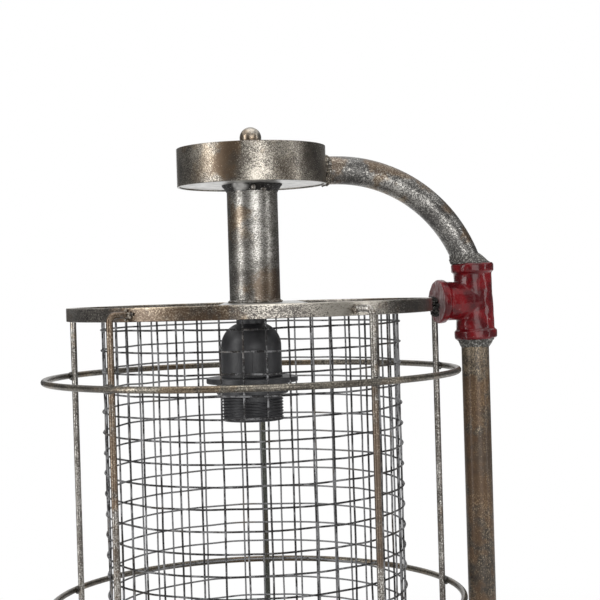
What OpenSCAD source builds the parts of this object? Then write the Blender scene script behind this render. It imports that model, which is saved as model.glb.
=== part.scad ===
// Industrial table lamp. A round base carries an upright pipe, a pipe tee and a bent pipe arm.
// The arm ends in a sheet drum, and a stem below the drum holds a wire cage round a lampholder.
// Millimetres, +Z up. The origin is the centre of the base's underside, and +X points to the pipe.

/* [Base] */
// Diameter of the round base
base_d = 270; // [240:5:340]
// Height of the base's rim
base_h = 24; // [20:1:40]
// Wall of the base's rim
base_wall = 2; // [1:0.5:4]
// Thickness of the plate that closes the base on top
base_top_t = 3; // [2:0.5:5]
// Thickness of the plate that closes the base below
base_plate_t = 2; // [1:0.5:4]
// How far the closing plates sit inside the edges of their rims
lip = 0.8; // [0.4:0.1:2]
// Thickness of the felt under the base
felt_t = 2; // [1.5:0.5:4]
// How far the felt stays inside the edge of the base
felt_inset = 8; // [3:1:20]

/* [Pipework] */
// Outer diameter of the pipe
pipe_d = 18; // [16:0.5:20]
// Wall of the pipe
pipe_wall = 2.3; // [1.8:0.1:2.6]
// How far the upright pipe runs through the top plate of the base
pipe_tail = 2; // [1:0.5:4]
// Distance from the edge of the base to the middle of the upright pipe
pipe_edge = 27; // [20:1:45]
// Radius of the arm's bend, at the middle of the pipe
arm_bend_r = 92; // [82:1:94]
// How far the arm lands inside the middle of the tee
arm_inset = 3.7; // [2.5:0.1:5]
// How far the arm sits below the middle of the drum
arm_drop = 2.5; // [0:0.5:4]
// Length of the tee, end to end
tee_l = 51; // [48:1:54]
// Distance from the middle of the tee to the face of its branch
tee_branch_l = 25.5; // [24:0.5:27]
// Diameter of the tee's body
tee_body_d = 23.4; // [22:0.1:24]
// Diameter of the beads at the tee's three ends
tee_bead_d = 27.5; // [26.5:0.5:30]
// Width of each bead
tee_bead_w = 5.6; // [5:0.2:7]
// Diameter of the tee's branch behind its bead
tee_neck_d = 25.2; // [24:0.1:26]
// Turn of the tee on its pipe, which swings the branch to the front
tee_turn = 10; // [0:1:10]
// Depth of the thread in each end of the tee
thread_l = 10; // [8:0.5:11]
// Height of the thread above the bore behind it
thread_h = 1; // [0.8:0.1:1]

/* [Drum and stem] */
// Diameter of the drum
drum_d = 93.8; // [84:0.2:96]
// Height of the drum
drum_h = 24; // [23:0.5:30]
// Wall of the drum
drum_wall = 1.5; // [1:0.25:2]
// Thickness of the drum's lid and floor
drum_plate_t = 1.5; // [1:0.25:2]
// Diameter of the ball nut on the lid
ball_d = 13.7; // [11:0.1:16]
// Depth of the flat under the ball nut
ball_flat = 0.6; // [0.4:0.1:1]
// Diameter of the stud that the ball nut screws on
stud_d = 6; // [4:0.5:6]
// Length of the stud above the lid
stud_l = 8; // [5:0.5:9]
// Diameter of the stem
stem_d = 32; // [28:0.5:34]
// Wall of the stem
stem_wall = 1.8; // [1.2:0.1:2.5]
// Length of the stem, from the strap to the edge of the drum
stem_l = 73.4; // [68:0.2:84]
// How far the stem and the drum sit from the shade's axis, towards the pipe
stem_offset = 3.5; // [0:0.5:4]

/* [Cage] */
// Outer diameter of the two flat bands
band_d = 228.6; // [222:0.2:236]
// Height of the bands
band_h = 8.2; // [6:0.2:12]
// Thickness of the bands
band_t = 3; // [2:0.5:4]
// Gap between the top band and the branch of the tee, which the weld fills
branch_gap = 10.2; // [8:0.2:14]
// Distance from the outside of the bands to the middle of the upright rods
rod_out = 10.7; // [9:0.1:13]
// Diameter of the upright rods
rod_d = 4; // [3:0.5:5]
// Radius of the bends at the ends of the rods, at the middle of the rod
rod_bend_r = 4; // [3:0.5:4.5]
// Number of upright rods
rod_n = 5; // [5:1:5]
// Angle of the first rod, the one under the tee
rod_phase = 3; // [0:0.5:3]
// Angle by which the ends of the two front rods lean towards each other
rod_lean = 16; // [0:1:20]
// Diameter of the rod that each guard ring is bent from
ring_rod_d = 4; // [3:0.5:6]
// Height of each guard ring from the nearer end of the cage
ring_offset = 45; // [30:1:60]
// Space between the base and the cage, for changing the bulb
clear_h = 150; // [120:5:200]
// Width of the strap across the top band
strap_w = 50; // [44:1:56]
// Thickness of the strap
strap_t = 3; // [2:0.5:4]
// How far the strap sits to one side of the stem
strap_offset = 7.5; // [3:0.5:8]
// Angle of the strap from the pipe's side
strap_angle = 78; // [70:1:90]

/* [Mesh] */
// Height of one cell of the welded mesh
mesh_cell = 12.7; // [12:0.1:13]
// Width of one cell, round the cylinder
mesh_cell_w = 13.2; // [12.6:0.1:13.8]
// Least distance from the upright wires to the outside of the bands
mesh_gap = 21.5; // [21:0.5:33]
// Number of cells from top to bottom
mesh_cells_high = 16; // [12:1:18]
// Distance from each end of the cage to the nearest hoop
mesh_end = 14; // [12:0.5:20]
// Diameter of the mesh wire
wire_d = 1.2; // [1:0.1:1.6]
// Angle of the first upright wire
mesh_phase = 1.5; // [-4:0.5:4]
// Number of stays that hold the mesh to the bottom band
stay_n = 5; // [3:1:5]

/* [Lampholder] */
// Inner diameter of the screw shell, for an E27 bulb
shell_bore_d = 26.6; // [26.4:0.1:27]
// Wall of the screw shell
shell_t = 0.5; // [0.4:0.1:0.8]
// Length of the screw shell
shell_l = 24; // [20:1:25]
// Depth of the recess above the screw shell, for the centre contact
contact_deep = 3.4; // [3.4:0.2:5]
// Diameter of the lampholder's cap
cap_d = 38; // [37:0.2:38.2]
// Radius of the cap's shoulder
cap_round = 15; // [12:0.5:15]
// Wall of the cap
cap_wall = 2; // [1.5:0.1:2.5]
// Diameter of the cap's neck
neck_d = 17.8; // [16.5:0.1:18]
// Height of the cap's neck above its shoulder
neck_h = 4; // [3:0.5:6]
// Height of the cap below its shoulder
cap_straight = 17.5; // [16:0.5:20]
// Outer diameter of the threaded skirt
skirt_d = 38.4; // [38.2:0.1:39]
// Inner diameter of the threaded skirt
skirt_bore_d = 30; // [29.4:0.1:31]
// Height of the threaded skirt
skirt_h = 29; // [27:0.5:34]
// Diameter of the shade ring's flange
shade_ring_d = 57.6; // [52:0.2:60]
// Thickness of the shade ring's flange
shade_ring_t = 3.6; // [3:0.2:5]
// Diameter of the shade ring's hub
shade_hub_d = 45; // [43:0.5:48]
// Height of the shade ring, hub and flange together
shade_ring_h = 10.6; // [8:0.2:12]
// Gap between the cap and the shade ring
shade_ring_gap = 1.8; // [1:0.1:3]
// Outer diameter of the threaded nipple
nipple_d = 10; // [9:0.5:10]
// Bore of the threaded nipple
nipple_bore_d = 7.8; // [7:0.1:8]
// Width of the nuts on the nipple, across their flats
nut_af = 14; // [13:0.5:16]
// Thickness of the nuts
nut_t = 4; // [3:0.5:5]
// Thickness of the washer
washer_t = 1.2; // [1:0.1:1.6]

/* [Welds] */
// Spread of the welds round the pipes
pipe_weld_w = 3; // [2:0.2:4]
// Length of the welds along the pipes
pipe_weld_l = 4.5; // [3:0.5:6]
// Spread of the weld collar under the drum
collar_w = 3.2; // [2:0.2:5]
// Height of the weld collar under the drum
collar_h = 6; // [4:0.5:8]
// Spread of the weld at the foot of the stem
stem_weld_w = 1.8; // [1:0.2:3]
// Height of the weld at the foot of the stem
stem_weld_h = 3; // [2:0.5:5]
// Width of each weld where a rod ends on a band
rod_weld_d = 7; // [6:0.5:8]

/* [Wiring] */
// Diameter of the flex inside the pipes
flex_d = 5; // [4:0.2:5.6]
// Radius of the flex's bends, at the middle of the flex
flex_bend_r = 12; // [10:0.5:13]
// Bore of the rubber gland in the base
gland_bore_d = 6.5; // [5:0.1:7]
// Diameter of the gland's neck, in the wall of the base
gland_neck_d = 9.5; // [9:0.1:11]
// Diameter of the gland's two flanges
gland_flange_d = 13; // [12:0.5:15]
// Thickness of each of the gland's flanges
gland_flange_t = 2; // [1.5:0.1:3]
// Angle of the gland round the base
gland_angle = 90; // [80:5:100]
// Length of the terminal block
block_l = 22; // [18:1:28]
// Width of the terminal block
block_w = 14; // [10:1:18]
// Height of the terminal block
block_h = 11; // [9:0.5:12]
// Distance from the upright pipe to the middle of the terminal block
block_x = 52; // [40:1:60]
// Direction of the terminal block from the upright pipe
block_turn = 130; // [120:5:150]

/* [Clearances] */
// Gap between pieces that are welded, screwed or pressed together
seat_gap = 0.05; // [0.02:0.01:0.08]
// Gap between pieces that slide on each other
slide_gap = 0.08; // [0.05:0.01:0.1]
// Gap round the loose lid
lid_gap = 0.3; // [0.2:0.05:0.5]

/* [Hidden] */
$fn = 96;

// How far a cutter runs past the face that it cuts
cut = 1;
// Thickness of a weld at its thin edge
weld_edge = 0.4;
// Radius of the worn edges of sheet and strip
soft_edge = 0.4;

// Heights of the base
base_z0 = felt_t;
base_z1 = base_z0 + base_h;
base_r = base_d / 2;
pipe_x = base_r - pipe_edge;
base_floor_z = base_z0 + base_plate_t;
base_roof_z = base_z1 - lip;

// The shade's axis, the stem's axis and the heights of the cage
arm_reach = band_d / 2 + branch_gap + tee_branch_l;
shade_x = pipe_x - arm_reach;
stem_x = shade_x + stem_offset;
cage_h = 2 * mesh_end + mesh_cells_high * mesh_cell;
cage_z0 = base_roof_z + clear_h;
cage_z1 = cage_z0 + cage_h;
band_r = band_d / 2;
band_inner_r = band_r - band_t;
band_mid_z1 = cage_z1 - band_h / 2;
band_mid_z0 = cage_z0 + band_h / 2;
strap_z = cage_z1 - strap_t;
rod_pitch_r = band_r + rod_out;
ring_r = rod_pitch_r + rod_d / 2 + ring_rod_d / 2 + seat_gap;
ring_z0 = cage_z0 + ring_offset;
ring_z1 = cage_z1 - ring_offset;
rod_step = 360 / rod_n;
rod_half_l = (band_mid_z1 - band_mid_z0) / 2 - rod_bend_r + 1;
front_left_rod = 3;
front_right_rod = 4;

// The mesh cylinder
mesh_cells_round = floor(2 * PI * (band_r - mesh_gap) / mesh_cell_w);
mesh_r = mesh_cells_round * mesh_cell_w / (2 * PI);
hoop_r = mesh_r + wire_d + seat_gap;
wire_z0 = cage_z0 + strap_t;
wire_z1 = strap_z;

// The drum
drum_r = drum_d / 2;
drum_inner_r = drum_r - drum_wall;
drum_z0 = cage_z1 + stem_l;
drum_z1 = drum_z0 + drum_h;
drum_floor_z = drum_z0 + lip;
lid_z = drum_z1 - drum_plate_t;
bridge_w = 12;
bridge_t = 2;
ball_z = drum_z1 + ball_d / 2 - ball_flat;

// The tee, at the height of the top band
tee_z = band_mid_z1;
tee_z0 = tee_z - tee_l / 2;
tee_z1 = tee_z + tee_l / 2;
tee_bore_r = pipe_d / 2 - thread_h;

// The arm is a level stub and a bend, cut level where it stands on the tee
pipe_bore_r = pipe_d / 2 - pipe_wall;
arm_z = (drum_z0 + drum_z1) / 2 - arm_drop;
arm_centre_z = arm_z - arm_bend_r;
arm_sweep = acos((tee_z1 - arm_centre_z) / arm_bend_r);
arm_end_x = pipe_x - arm_inset;
arm_centre_x = arm_end_x - arm_bend_r * sin(arm_sweep);

// The lampholder hangs from the nipple under the strap
washer_z = strap_z - washer_t;
neck_z = washer_z - nut_t;
shoulder_z = neck_z - neck_h - cap_round;
cap_z0 = shoulder_z - cap_straight;
skirt_z0 = cap_z0 - skirt_h;
core_h = 14;
core_z1 = cap_z0 + core_h;
shell_r = shell_bore_d / 2;
shell_z1 = cap_z0 - contact_deep;
nipple_in = 10;
nipple_out = 4;
nipple_z0 = neck_z - nipple_in;
nipple_z1 = cage_z1 + nut_t + nipple_out;
contact_t = 0.8;

// The flex runs from the terminal block up the pipes and down the stem
flex_arm_r = arm_bend_r - 2 * (arm_centre_x + arm_bend_r - pipe_x);
flex_base_z = base_floor_z + block_h / 2;
flex_drop_l = arm_z - flex_bend_r - core_z1 - seat_gap;
gland_z = (base_floor_z + base_roof_z - base_top_t) / 2;

// Moves what follows to the axis of the shade
module at_shade(z = 0) {
    translate([shade_x, 0, z])
        children();
}

// Moves what follows to the axis of the stem and the drum
module at_stem(z = 0) {
    translate([stem_x, 0, z])
        children();
}

// Moves what follows to the middle of the tee and turns it with the tee
module at_tee() {
    translate([pipe_x, 0, tee_z])
        rotate([0, 0, tee_turn])
            children();
}

// A round tube standing on z
module tube(r, wall, z, h) {
    translate([0, 0, z])
        difference() {
            cylinder(r = r, h = h);
            translate([0, 0, -cut])
                cylinder(r = r - wall, h = h + 2 * cut);
        }
}

// A round tube standing on z, with its four edges rounded
module soft_tube(r, wall, z, h) {
    translate([0, 0, z])
        rotate_extrude()
            translate([r - wall, 0])
                union() {
                    translate([0, soft_edge])
                        square([wall, h - 2 * soft_edge]);
                    translate([soft_edge, 0])
                        square([wall - 2 * soft_edge, h]);
                    for (x = [soft_edge, wall - soft_edge], y = [soft_edge, h - soft_edge])
                        translate([x, y])
                            circle(r = soft_edge, $fn = 32);
                }
}

// A disc with rounded rims, from z = 0 up
module round_disc(r, h, e) {
    rotate_extrude()
        union() {
            square([r - e, h]);
            translate([0, e])
                square([r, h - 2 * e]);
            translate([r - e, e])
                circle(r = e);
            translate([r - e, h - e])
                circle(r = e);
        }
}

// A round bar bent in the XZ plane, from angle a0 to a1 about the origin
module bend(r, d, a0, a1) {
    rotate([90, 0, 0])
        rotate([0, 0, a0])
            rotate_extrude(angle = a1 - a0)
                translate([r, 0])
                    circle(d = d);
}

// A round bar along +X
module level_bar(d, l) {
    rotate([0, 90, 0])
        cylinder(d = d, h = l);
}

// A hollow cone of weld round a pipe, wide at z = 0 and narrow at z = h
module weld_fillet(r, foot, h) {
    difference() {
        cylinder(r1 = r + foot, r2 = r + weld_edge, h = h);
        translate([0, 0, -cut])
            cylinder(r = r + seat_gap, h = h + 2 * cut);
    }
}

// The arm's centre line as a solid bar, running past the drum's wall and the tee's face
module arm_bar(d) {
    overrun = 12;
    stub_l = arm_centre_x - stem_x - drum_inner_r + 2;
    translate([arm_centre_x, 0, arm_centre_z]) {
        translate([-stub_l, 0, arm_bend_r])
            level_bar(d, stub_l);
        mirror([0, 0, 1])
            bend(arm_bend_r, d, -90, arm_sweep + overrun - 90);
    }
}

module base_felt() {
    color("dimgray")
        cylinder(r = base_r - felt_inset, h = felt_t, $fn = 180);
}

module base_plate() {
    color("darkslategray")
        translate([0, 0, base_z0])
            cylinder(r = base_r - base_wall - seat_gap, h = base_plate_t, $fn = 180);
}

module base_rim() {
    color("gray")
        difference() {
            soft_tube(base_r, base_wall, base_z0, base_h, $fn = 180);
            rotate([0, 0, gland_angle])
                translate([base_r - 2 * base_wall, 0, gland_z])
                    level_bar(gland_neck_d + 2 * seat_gap, 3 * base_wall);
        }
}

module base_top() {
    color("gray")
        difference() {
            translate([0, 0, base_roof_z - base_top_t])
                cylinder(r = base_r - base_wall - seat_gap, h = base_top_t, $fn = 180);
            translate([pipe_x, 0, base_roof_z - base_top_t - cut])
                cylinder(r = pipe_d / 2 + seat_gap, h = base_top_t + 2 * cut);
        }
}

// The gland's inner flange seats inside the curved rim, and its outer flange stands proud
module cord_gland() {
    inner_face_x = sqrt(pow(base_r - base_wall, 2) - pow(gland_flange_d / 2, 2)) - seat_gap;
    groove_l = base_r + seat_gap - inner_face_x;
    edge = 0.5;
    color("black")
        rotate([0, 0, gland_angle])
            translate([inner_face_x - gland_flange_t, 0, gland_z])
                rotate([0, 90, 0])
                    difference() {
                        union() {
                            cylinder(d = gland_neck_d, h = groove_l + gland_flange_t + edge);
                            round_disc(gland_flange_d / 2, gland_flange_t, edge);
                            translate([0, 0, gland_flange_t + groove_l])
                                round_disc(gland_flange_d / 2, gland_flange_t, edge);
                        }
                        translate([0, 0, -cut])
                            cylinder(d = gland_bore_d,
                                     h = groove_l + 2 * gland_flange_t + 2 * cut);
                    }
}

module terminal_block() {
    tower_d = 5;
    tower_h = 2;
    screw_d = 3.4;
    screw_deep = 3;
    color("ivory")
        translate([pipe_x, 0, base_floor_z])
            rotate([0, 0, block_turn])
                difference() {
                    union() {
                        translate([block_x - block_l / 2, -block_w / 2, 0])
                            cube([block_l, block_w, block_h - tower_h]);
                        for (x = [-1, 1], y = [-1, 1])
                            translate([block_x + x * block_l / 4, y * block_w / 4, 0])
                                cylinder(d = tower_d, h = block_h);
                    }
                    for (x = [-1, 1], y = [-1, 1])
                        translate([block_x + x * block_l / 4, y * block_w / 4, block_h - screw_deep])
                            cylinder(d = screw_d, h = screw_deep + cut);
                }
}

module upright_pipe() {
    foot_z = base_roof_z - base_top_t - pipe_tail;
    color("dimgray")
        translate([pipe_x, 0, 0])
            difference() {
                union() {
                    translate([0, 0, foot_z])
                        cylinder(d = pipe_d, h = tee_z0 - foot_z);
                    translate([0, 0, tee_z0 - cut])
                        cylinder(r = tee_bore_r - seat_gap, h = thread_l + cut);
                }
                translate([0, 0, foot_z - cut])
                    cylinder(r = pipe_bore_r, h = tee_z0 - foot_z + thread_l + 2 * cut);
            }
}

module pipe_foot_weld() {
    color("dimgray")
        translate([pipe_x, 0, base_roof_z])
            weld_fillet(pipe_d / 2, pipe_weld_w, pipe_weld_l);
}

// One end of the tee: a rounded bead that slopes down to a neck of diameter d
module tee_end(d) {
    edge = 2;
    slope_l = 3;
    round_disc(tee_bead_d / 2, tee_bead_w, edge);
    translate([0, 0, tee_bead_w - edge / 4])
        cylinder(r1 = tee_bead_d / 2 - edge / 2, r2 = d / 2, h = slope_l);
}

module tee() {
    color("firebrick")
        at_tee()
            difference() {
                union() {
                    translate([0, 0, cut - tee_l / 2])
                        cylinder(d = tee_body_d, h = tee_l - 2 * cut);
                    translate([0, 0, -tee_l / 2])
                        tee_end(tee_body_d);
                    translate([0, 0, tee_l / 2])
                        mirror([0, 0, 1])
                            tee_end(tee_body_d);
                    sphere(d = tee_neck_d);
                    translate([cut - tee_branch_l, 0, 0])
                        level_bar(tee_neck_d, tee_branch_l - cut);
                    translate([-tee_branch_l, 0, 0])
                        rotate([0, 90, 0])
                            tee_end(tee_neck_d);
                }
                translate([0, 0, -tee_l / 2 - cut])
                    cylinder(r = tee_bore_r, h = tee_l + 2 * cut);
                translate([-tee_branch_l - cut, 0, 0])
                    level_bar(2 * tee_bore_r, tee_branch_l + cut);
            }
}

module tee_lower_weld() {
    color("dimgray")
        translate([pipe_x, 0, tee_z0])
            mirror([0, 0, 1])
                weld_fillet(pipe_d / 2, pipe_weld_w, pipe_weld_l);
}

module tee_upper_weld() {
    color("dimgray")
        difference() {
            translate([arm_end_x, 0, tee_z1])
                cylinder(r1 = pipe_d / 2 + pipe_weld_w, r2 = pipe_d / 2 + weld_edge, h = pipe_weld_l);
            arm_bar(pipe_d + 2 * seat_gap);
        }
}

module branch_plug() {
    color("black")
        at_tee()
            translate([-tee_branch_l, 0, 0])
                level_bar(2 * (tee_bore_r - seat_gap), thread_l);
}

// The weld between the tee's branch and the top band, wider at the branch
module branch_weld() {
    narrow = 0.6;
    wide = 1.4;
    weld_l = arm_reach - tee_branch_l - seat_gap - band_inner_r;
    color("black")
        difference() {
            at_tee()
                translate([-tee_branch_l - seat_gap - weld_l, 0, 0])
                    rotate([0, 90, 0])
                        cylinder(r1 = band_h / 2 - narrow, r2 = band_h / 2 + wide, h = weld_l);
            at_shade(tee_z - band_h)
                cylinder(r = band_r + seat_gap, h = 2 * band_h, $fn = 180);
        }
}

module arm_pipe() {
    color("dimgray")
        difference() {
            arm_bar(pipe_d);
            arm_bar(2 * pipe_bore_r);
            at_stem(arm_z - pipe_d)
                cylinder(r = drum_inner_r, h = 2 * pipe_d, $fn = 180);
            translate([pipe_x - 2 * pipe_d, -pipe_d, tee_z1 - 4 * pipe_d])
                cube([4 * pipe_d, 2 * pipe_d, 4 * pipe_d]);
        }
}

module arm_weld() {
    buried = 2;
    color("dimgray")
        difference() {
            translate([stem_x + drum_r - buried, 0, arm_z])
                rotate([0, 90, 0])
                    cylinder(r1 = pipe_d / 2 + pipe_weld_w, r2 = pipe_d / 2 + weld_edge,
                             h = pipe_weld_l + buried);
            translate([stem_x + drum_r - buried - cut, 0, arm_z])
                level_bar(pipe_d + 2 * seat_gap, pipe_weld_l + buried + 2 * cut);
            at_stem(drum_z0)
                cylinder(r = drum_r + seat_gap, h = drum_h, $fn = 180);
        }
}

module drum_rim() {
    color("gray")
        difference() {
            at_stem()
                soft_tube(drum_r, drum_wall, drum_z0, drum_h, $fn = 180);
            translate([stem_x + drum_r / 2, 0, arm_z])
                level_bar(pipe_d + 2 * seat_gap, drum_r);
        }
}

module drum_floor() {
    color("lightgray")
        at_stem(drum_floor_z)
            difference() {
                cylinder(r = drum_inner_r - seat_gap, h = drum_plate_t, $fn = 180);
                translate([0, 0, -cut])
                    cylinder(d = stem_d / 2, h = drum_plate_t + 2 * cut);
            }
}

module lid_bridge() {
    color("silver")
        intersection() {
            at_stem(lid_z - bridge_t)
                cylinder(r = drum_inner_r - seat_gap, h = bridge_t, $fn = 180);
            at_stem(lid_z - bridge_t)
                translate([-bridge_w / 2, -drum_r, 0])
                    cube([bridge_w, 2 * drum_r, bridge_t]);
        }
}

module lid_stud() {
    color("silver")
        at_stem(lid_z)
            cylinder(d = stud_d, h = drum_plate_t + stud_l);
}

module drum_lid() {
    color("gray")
        at_stem(lid_z)
            difference() {
                round_disc(drum_inner_r - lid_gap, drum_plate_t, soft_edge, $fn = 180);
                translate([0, 0, -cut])
                    cylinder(d = stud_d + 2 * lid_gap, h = drum_plate_t + 2 * cut);
            }
}

module ball_nut() {
    color("dimgray")
        at_stem(ball_z)
            difference() {
                sphere(d = ball_d);
                translate([-ball_d, -ball_d, -ball_d / 2 + ball_flat - 2 * ball_d])
                    cube(2 * ball_d);
                translate([0, 0, -ball_d])
                    cylinder(d = stud_d + 2 * slide_gap,
                             h = ball_d / 2 + ball_flat + stud_l + slide_gap);
            }
}

module stem_tube() {
    color("dimgray")
        at_stem()
            tube(stem_d / 2, stem_wall, cage_z1, drum_floor_z - cage_z1);
}

module stem_collar() {
    color("black")
        at_stem(drum_floor_z)
            mirror([0, 0, 1])
                weld_fillet(stem_d / 2, collar_w, collar_h);
}

module stem_foot_weld() {
    color("dimgray")
        at_stem(cage_z1)
            weld_fillet(stem_d / 2, stem_weld_w, stem_weld_h);
}

module strap_plate() {
    color("silver")
        at_shade(strap_z)
            difference() {
                intersection() {
                    cylinder(r = band_inner_r - seat_gap, h = strap_t, $fn = 180);
                    rotate([0, 0, strap_angle])
                        translate([-band_r, -strap_offset - strap_w / 2, 0])
                            cube([2 * band_r, strap_w, strap_t]);
                }
                translate([0, 0, -cut])
                    cylinder(r = nipple_d / 2 + seat_gap, h = strap_t + 2 * cut);
            }
}

module band(z) {
    color("dimgray")
        at_shade()
            soft_tube(band_r, band_t, z, band_h, $fn = 180);
}

module guard_ring(z) {
    color("dimgray")
        at_shade(z)
            rotate_extrude($fn = 180)
                translate([ring_r, 0])
                    circle(d = ring_rod_d, $fn = 32);
}

// Half a cage rod of length l: straight up to z = 0, where its end turns in to the band
module half_rod(l) {
    translate([0, 0, -l])
        cylinder(d = rod_d, h = l);
    translate([-rod_bend_r, 0, 0]) {
        bend(rod_bend_r, rod_d, 0, 90);
        translate([-rod_out, 0, rod_bend_r])
            level_bar(rod_d, rod_out);
    }
}

// The lean of a rod's ends: only the two front rods have one
function lean_of(i) = i == front_left_rod ? -rod_lean : i == front_right_rod ? rod_lean : 0;

// Takes a rod's own axis to its place in the cage, turned by its lean
module at_rod(i) {
    at_shade()
        rotate([0, 0, rod_phase + i * rod_step])
            translate([rod_pitch_r, 0, 0])
                rotate([0, 0, lean_of(i)])
                    children();
}

// The ends of the rods are coped to the outside of the bands
module band_cope() {
    at_shade(cage_z0 - cut)
        cylinder(r = band_r + seat_gap, h = cage_h + 2 * cut, $fn = 180);
}

module lower_half_rod() {
    translate([0, 0, band_mid_z0 + rod_bend_r])
        mirror([0, 0, 1])
            half_rod(rod_half_l);
}

module cage_rod(i) {
    color("dimgray")
        difference() {
            at_rod(i) {
                translate([0, 0, band_mid_z1 - rod_bend_r])
                    half_rod(rod_half_l);
                lower_half_rod();
            }
            band_cope();
        }
}

// The rod at the pipe stops under the branch of the tee and is coped to its bead
module tee_rod() {
    color("dimgray")
        difference() {
            at_rod(0) {
                translate([0, 0, tee_z - rod_bend_r - rod_half_l])
                    cylinder(d = rod_d, h = rod_half_l + rod_bend_r);
                lower_half_rod();
            }
            at_tee()
                translate([-tee_branch_l - 3 * rod_d, 0, 0])
                    level_bar(tee_bead_d + 2 * seat_gap, 6 * rod_d);
            band_cope();
        }
}

// A lump of weld round the end of each rod, on the outside of the band
module rod_end_weld() {
    translate([-rod_out, 0, 0])
        difference() {
            sphere(d = rod_weld_d);
            translate([-rod_weld_d, 0, 0])
                level_bar(rod_d + 2 * seat_gap, 2 * rod_weld_d);
        }
}

module rod_end_welds() {
    color("black")
        difference() {
            for (i = [0 : rod_n - 1])
                at_rod(i) {
                    translate([0, 0, band_mid_z0])
                        rod_end_weld();
                    if (i > 0)
                        translate([0, 0, band_mid_z1])
                            rod_end_weld();
                }
            band_cope();
        }
}

// The turn of one upright wire, counted from the first
function wire_turn(i) = mesh_phase + i * 360 / mesh_cells_round;

module mesh_wires() {
    color("darkslategray")
        at_shade(wire_z0)
            for (i = [0 : mesh_cells_round - 1])
                rotate([0, 0, wire_turn(i)])
                    translate([mesh_r, 0, 0])
                        cylinder(d = wire_d, h = wire_z1 - wire_z0, $fn = 16);
}

module mesh_hoops() {
    color("darkslategray")
        for (i = [0 : mesh_cells_high])
            at_shade(cage_z0 + mesh_end + i * mesh_cell)
                rotate_extrude($fn = 120)
                    translate([hoop_r, 0])
                        circle(d = wire_d, $fn = 16);
}

module mesh_stays() {
    stay_x = mesh_r + wire_d / 2 + seat_gap;
    color("darkslategray")
        intersection() {
            at_shade(band_mid_z0)
                for (i = [0 : stay_n - 1])
                    rotate([0, 0, wire_turn(round(i * mesh_cells_round / stay_n))])
                        translate([stay_x, 0, 0])
                            level_bar(rod_d, band_r - stay_x);
            at_shade(cage_z0)
                cylinder(r = band_inner_r - seat_gap, h = band_h, $fn = 180);
        }
}

module nipple() {
    color("silver")
        at_shade()
            tube(nipple_d / 2, (nipple_d - nipple_bore_d) / 2, nipple_z0, nipple_z1 - nipple_z0);
}

module hex_nut() {
    difference() {
        cylinder(d = nut_af / cos(30), h = nut_t, $fn = 6);
        translate([0, 0, -cut])
            cylinder(r = nipple_d / 2 + seat_gap, h = nut_t + 2 * cut);
    }
}

module nipple_nuts() {
    color("silver") {
        at_shade(cage_z1)
            hex_nut();
        at_shade(neck_z)
            hex_nut();
        at_shade()
            tube(neck_d / 2, neck_d / 2 - nipple_d / 2 - seat_gap, washer_z, washer_t);
    }
}

// Half outline of the cap: neck, round shoulder and straight side, drawn in by t
module cap_outline(t) {
    round_r = cap_round - t;
    union() {
        translate([0, cap_z0 - t])
            square([cap_d / 2 - t, cap_straight + t]);
        translate([0, shoulder_z])
            square([cap_d / 2 - cap_round, round_r]);
        intersection() {
            translate([cap_d / 2 - cap_round, shoulder_z])
                circle(r = round_r);
            translate([0, shoulder_z])
                square([cap_d, cap_round]);
        }
    }
}

module holder_cap() {
    color("black")
        at_shade()
            difference() {
                union() {
                    rotate_extrude()
                        cap_outline(0);
                    translate([0, 0, shoulder_z + cap_round / 2])
                        cylinder(d = neck_d, h = neck_z - shoulder_z - cap_round / 2);
                }
                rotate_extrude()
                    cap_outline(cap_wall);
                translate([0, 0, shoulder_z])
                    cylinder(r = nipple_d / 2 + seat_gap, h = neck_z - shoulder_z + cut);
            }
}

// The insulating core, with a groove on top for the wire ends and a recess for the contact
module holder_core() {
    groove_h = 3;
    groove_w = 4;
    groove_rim = 2;
    contact_gap = 0.2;
    color("white")
        at_shade(shell_z1)
            difference() {
                cylinder(d = skirt_bore_d - 2 * seat_gap, h = contact_deep + core_h);
                translate([0, 0, -cut])
                    cylinder(r = shell_r + contact_gap, h = contact_deep + cut);
                tube(skirt_bore_d / 2 - groove_rim, groove_w,
                     contact_deep + core_h - groove_h, groove_h + cut);
            }
}

module screw_shell() {
    color("goldenrod")
        at_shade(shell_z1 - shell_l)
            difference() {
                union() {
                    cylinder(r = shell_r + shell_t, h = shell_l);
                    cylinder(r = shell_r + 2 * shell_t, h = 2 * shell_t);
                }
                translate([0, 0, -cut])
                    cylinder(r = shell_r, h = shell_l + 2 * cut);
            }
}

module centre_contact() {
    tongue_w = 6;
    tongue_l = 16;
    tip_d = 3;
    tip_l = 3;
    color("goldenrod")
        at_shade(cap_z0) {
            translate([-tongue_l / 2, -tongue_w / 2, -contact_t])
                cube([tongue_l, tongue_w, contact_t]);
            translate([0, 0, -tip_l])
                cylinder(d1 = tip_d, d2 = tongue_w, h = tip_l - contact_t / 2);
        }
}

// The skirt's narrower top screws into the cap
module holder_skirt() {
    spigot_h = 5;
    color("black")
        at_shade(skirt_z0)
            difference() {
                union() {
                    cylinder(d = skirt_d, h = skirt_h);
                    cylinder(d = cap_d - 2 * cap_wall - 2 * seat_gap, h = skirt_h + spigot_h);
                }
                translate([0, 0, -cut])
                    cylinder(d = skirt_bore_d, h = skirt_h + spigot_h + 2 * cut);
            }
}

module shade_ring() {
    edge = 0.8;
    flange_z = cap_z0 - shade_ring_gap - shade_ring_t;
    hub_z = cap_z0 - shade_ring_gap - shade_ring_h;
    color("black")
        at_shade()
            difference() {
                union() {
                    translate([0, 0, flange_z])
                        round_disc(shade_ring_d / 2, shade_ring_t, edge);
                    translate([0, 0, hub_z])
                        round_disc(shade_hub_d / 2, shade_ring_h - edge, edge);
                }
                translate([0, 0, hub_z - cut])
                    cylinder(d = skirt_d + 2 * slide_gap, h = shade_ring_h + 2 * cut);
            }
}

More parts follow.
